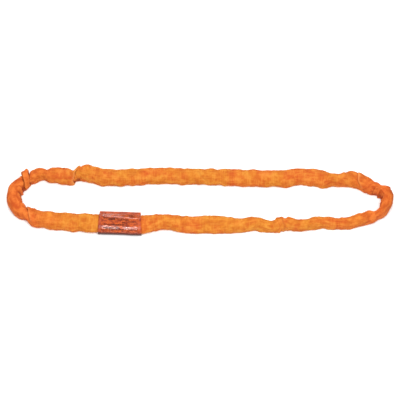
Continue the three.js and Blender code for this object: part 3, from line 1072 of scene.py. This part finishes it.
def fade(tree, factor, low, high, start, end):
    """A grey that goes from start at the factor low to end at the factor high."""
    return ramp(tree, factor, [(low, (start, start, start)), (high, (end, end, end))])


def axis(tree, vector, index):
    node = tree.nodes.new("ShaderNodeSeparateXYZ")
    link(tree, vector, node.inputs[0])
    return node.outputs[index]


def feed(tree, socket, value):
    """Give a socket a number, a colour or another node's output."""
    if isinstance(value, (int, float)):
        socket.default_value = value
    elif isinstance(value, tuple):
        socket.default_value = (*value, 1)
    else:
        link(tree, value, socket)


def combine(tree, kind, a, b):
    node = tree.nodes.new("ShaderNodeMath")
    node.operation = kind
    feed(tree, node.inputs[0], a)
    feed(tree, node.inputs[1], b)
    return node.outputs[0]


def mix(tree, factor, a, b):
    node = tree.nodes.new("ShaderNodeMix")
    node.data_type = "RGBA"
    for socket, value in ((0, factor), (6, a), (7, b)):
        feed(tree, node.inputs[socket], value)
    return node.outputs[2]


def bump(tree, shader, height, depth, strength):
    node = tree.nodes.new("ShaderNodeBump")
    node.inputs["Strength"].default_value = strength
    node.inputs["Distance"].default_value = depth
    link(tree, height, node.inputs["Height"])
    link(tree, node.outputs["Normal"], shader.inputs["Normal"])


def plain_weave(tree, vector, threads_per_metre):
    """Height of a plain weave: warp and weft pass over each other in turn."""
    warp = waves(tree, vector, "X", threads_per_metre)
    weft = waves(tree, vector, "Y", threads_per_metre)
    return combine(tree, "MAXIMUM", warp, weft)


JACKET_DARK, JACKET_MID, JACKET_LIGHT = (0.40, 0.065, 0.009), (0.52, 0.138, 0.016), (0.65, 0.265, 0.042)
JACKET_RED, JACKET_AMBER = (0.52, 0.080, 0.014), (0.50, 0.185, 0.014)
# Painted shade for the folds' hollows and painted highlight for their lips.
FOLD_PAINTED_SHADE, FOLD_PAINTED_HIGHLIGHT = (0.18, 0.016, 0.006), (0.76, 0.34, 0.11)


def woven_orange():
    made, tree, shader = material_parts("jacket_weave", JACKET_MID, 0.85)
    cloth, spot = cloth_uv(tree), object_spot(tree)
    mottle = noise(tree, cloth, (38, 60, 1), 3.0, 0.6)
    color = ramp(tree, mottle, [(0.37, JACKET_DARK), (0.50, JACKET_MID), (0.64, JACKET_LIGHT)])
    patches = noise(tree, spot, (14, 14, 14), 2.0)
    tint = ramp(tree, patches, [(0.38, JACKET_RED), (0.60, JACKET_AMBER)])
    color = mix(tree, 0.42, color, tint)
    # Warp and weft threads that caught more or less of the dye.
    warp = noise(tree, cloth, (22, 300, 1), 2.0)
    weft = noise(tree, cloth, (330, 26, 1), 2.0)
    color = mix(tree, fade(tree, warp, 0.52, 0.72, 0, 0.45), color, JACKET_LIGHT)
    color = mix(tree, fade(tree, weft, 0.52, 0.72, 0, 0.40), color, JACKET_LIGHT)
    color = mix(tree, fade(tree, weft, 0.28, 0.46, 0.4, 0), color, JACKET_DARK)
    weave = plain_weave(tree, cloth, 760)
    gaps = fade(tree, weave, 0.35, 0.85, 0.22, 0)
    color = mix(tree, gaps, color, (0.36, 0.055, 0.006))
    # Painted shade: the cloth is painted darker and redder towards the two turns.
    reach = combine(tree, "ABSOLUTE", axis(tree, spot, 0), 0)
    ink_wear_and_turn_shade = fade(tree, reach, 0.40, 0.56, 0, 0.75)
    turn_shade_color = ramp(tree, mottle, [(0.40, (0.43, 0.062, 0.010)), (0.60, (0.62, 0.130, 0.024))])
    color = mix(tree, ink_wear_and_turn_shade, color, turn_shade_color)
    # Painted shade deep in the folds and painted highlight on their lips, from the painted shading kept
    # on the mesh.
    painted_shading_node = tree.nodes.new("ShaderNodeAttribute")
    painted_shading_node.attribute_name = "painted_shading"
    fold_painted_shade = combine(tree, "MULTIPLY", painted_shading_node.outputs["Fac"], -1)
    color = mix(tree, fade(tree, fold_painted_shade, 0.05, 0.9, 0, 0.85), color, FOLD_PAINTED_SHADE)
    lip = fade(tree, painted_shading_node.outputs["Fac"], 0.15, 1.0, 0, 0.55)
    color = mix(tree, lip, color, FOLD_PAINTED_HIGHLIGHT)
    link(tree, color, shader.inputs["Base Color"])
    threads = combine(tree, "ADD", warp, weft)
    height = combine(tree, "ADD", combine(tree, "MULTIPLY", weave, 0.25), threads)
    bump(tree, shader, height, 0.7 * MM, 0.6)
    shader.inputs["Sheen Weight"].default_value = 0.08
    shader.inputs["Sheen Roughness"].default_value = 0.5
    shader.inputs["Sheen Tint"].default_value = (1.0, 0.45, 0.15, 1)
    shader.inputs["Specular IOR Level"].default_value = 0.12
    return made


def grained(name, roughness, scale, detail, dark, light, depth, strength, sheen=0.0):
    """A material whose grain is both its shade and its relief; depth in mm."""
    made, tree, shader = material_parts(name, light, roughness)
    grain = noise(tree, object_spot(tree), scale, detail)
    link(tree, ramp(tree, grain, [(0.4, dark), (0.6, light)]), shader.inputs["Base Color"])
    bump(tree, shader, grain, depth * MM, strength)
    shader.inputs["Sheen Weight"].default_value = sheen
    return made


def thread(name, color, darker):
    """Twisted thread or yarn, seen up close as slanted strands."""
    return grained(name, 0.55, (900, 300, 900), 2.0, darker, color, 0.3, 0.7, sheen=0.2)


def white_cloth():
    dark, light = (0.72, 0.70, 0.63), (0.86, 0.84, 0.79)
    return grained("inner_cover_weave", 0.85, (200, 200, 200), 3.0, dark, light, 0.5, 0.6)


def paper_tape():
    dark, light = (0.60, 0.53, 0.33), (0.74, 0.68, 0.48)
    return grained("tie_tape", 0.6, (120, 500, 500), 3.0, dark, light, 0.3, 0.5)


SLEEVE_RED, SLEEVE_DARK = (0.47, 0.075, 0.014), (0.27, 0.032, 0.008)


def coated_red():
    made, tree, shader = material_parts("tag_sleeve_coated", SLEEVE_RED, 0.38)
    cloth = cloth_uv(tree)
    stain = noise(tree, cloth, (60, 60, 1), 3.0)
    weave = plain_weave(tree, cloth, 700)
    color = ramp(tree, stain, [(0.38, SLEEVE_DARK), (0.60, SLEEVE_RED)])
    # Painted shade: the sleeve is painted dark from the near side's lower edge on, 89 to 92 mm round from
    # the fin's edge, where it turns under the body.
    round_share = combine(tree, "MULTIPLY", axis(tree, cloth, 1), 5)
    underside_shade = fade(tree, round_share, 0.445, 0.460, 0, 1)
    color = mix(tree, underside_shade, color, (0.075, 0.012, 0.006))
    link(tree, color, shader.inputs["Base Color"])
    bump(tree, shader, combine(tree, "ADD", combine(tree, "MULTIPLY", weave, 0.3), stain), 0.5 * MM, 0.6)
    shader.inputs["Specular IOR Level"].default_value = 0.2
    shader.inputs["Coat Weight"].default_value = 0.08
    shader.inputs["Coat Roughness"].default_value = 0.2
    return made


def label_sheet():
    made, tree, shader = material_parts("tag_label_sheet", (0.50, 0.10, 0.03), 0.45)
    cloth = cloth_uv(tree)
    blotch = noise(tree, cloth, (70, 110, 1), 3.0)
    specks = noise(tree, cloth, (420, 420, 1), 2.0)
    color = ramp(tree, blotch, [(0.40, (0.26, 0.028, 0.006)), (0.60, (0.60, 0.104, 0.014))])
    specked = fade(tree, specks, 0.53, 0.61, 0, 0.85)
    color = mix(tree, specked, color, (0.06, 0.008, 0.004))
    link(tree, color, shader.inputs["Base Color"])
    bump(tree, shader, blotch, 0.6 * MM, 0.5)
    shader.inputs["Specular IOR Level"].default_value = 0.1
    shader.inputs["Coat Weight"].default_value = 0.7
    shader.inputs["Coat IOR"].default_value = 1.5
    shader.inputs["Coat Roughness"].default_value = 0.12
    return made


def clear_film():
    made, tree, shader = material_parts("tag_film_clear", (0.50, 0.09, 0.03), 0.12)
    ripple = noise(tree, cloth_uv(tree), (55, 90, 1), 2.0)
    bump(tree, shader, ripple, 1.0 * MM, 0.6)
    link(tree, fade(tree, ripple, 0.3, 0.7, 0.08, 0.2), shader.inputs["Roughness"])
    shader.inputs["Alpha"].default_value = 0.06
    shader.inputs["Specular IOR Level"].default_value = 0.6
    return made


def ink():
    made, tree, shader = material_parts("tag_ink", (0.02, 0.006, 0.006), 0.6)
    shader.inputs["Specular IOR Level"].default_value = 0.1
    ink_wear_and_turn_shade = noise(tree, object_spot(tree), (700, 700, 700), 2.0)
    color = ramp(tree, ink_wear_and_turn_shade, [(0.56, (0.012, 0.004, 0.004)), (0.78, (0.16, 0.022, 0.010))])
    link(tree, color, shader.inputs["Base Color"])
    return made


def dress(pieces, made):
    for piece in pieces:
        piece.data.materials.clear()
        piece.data.materials.append(made)


dress([jacket], woven_orange())
dress([inner_cover], white_cloth())
dress(yarn_pieces, thread("core_yarn", (0.84, 0.83, 0.78), (0.62, 0.60, 0.54)))
dress(tie_pieces, paper_tape())
dress(thread_pieces, thread("inner_thread", (0.84, 0.82, 0.76), (0.60, 0.58, 0.52)))
dress([sleeve], coated_red())
dress([label], label_sheet())
dress([film], clear_film())
dress([bars], ink())
dress(stitch_pieces, thread("tag_thread", (0.13, 0.030, 0.016), (0.05, 0.012, 0.008)))
dress(seam_pieces, thread("jacket_thread", (0.78, 0.23, 0.03), (0.50, 0.11, 0.012)))
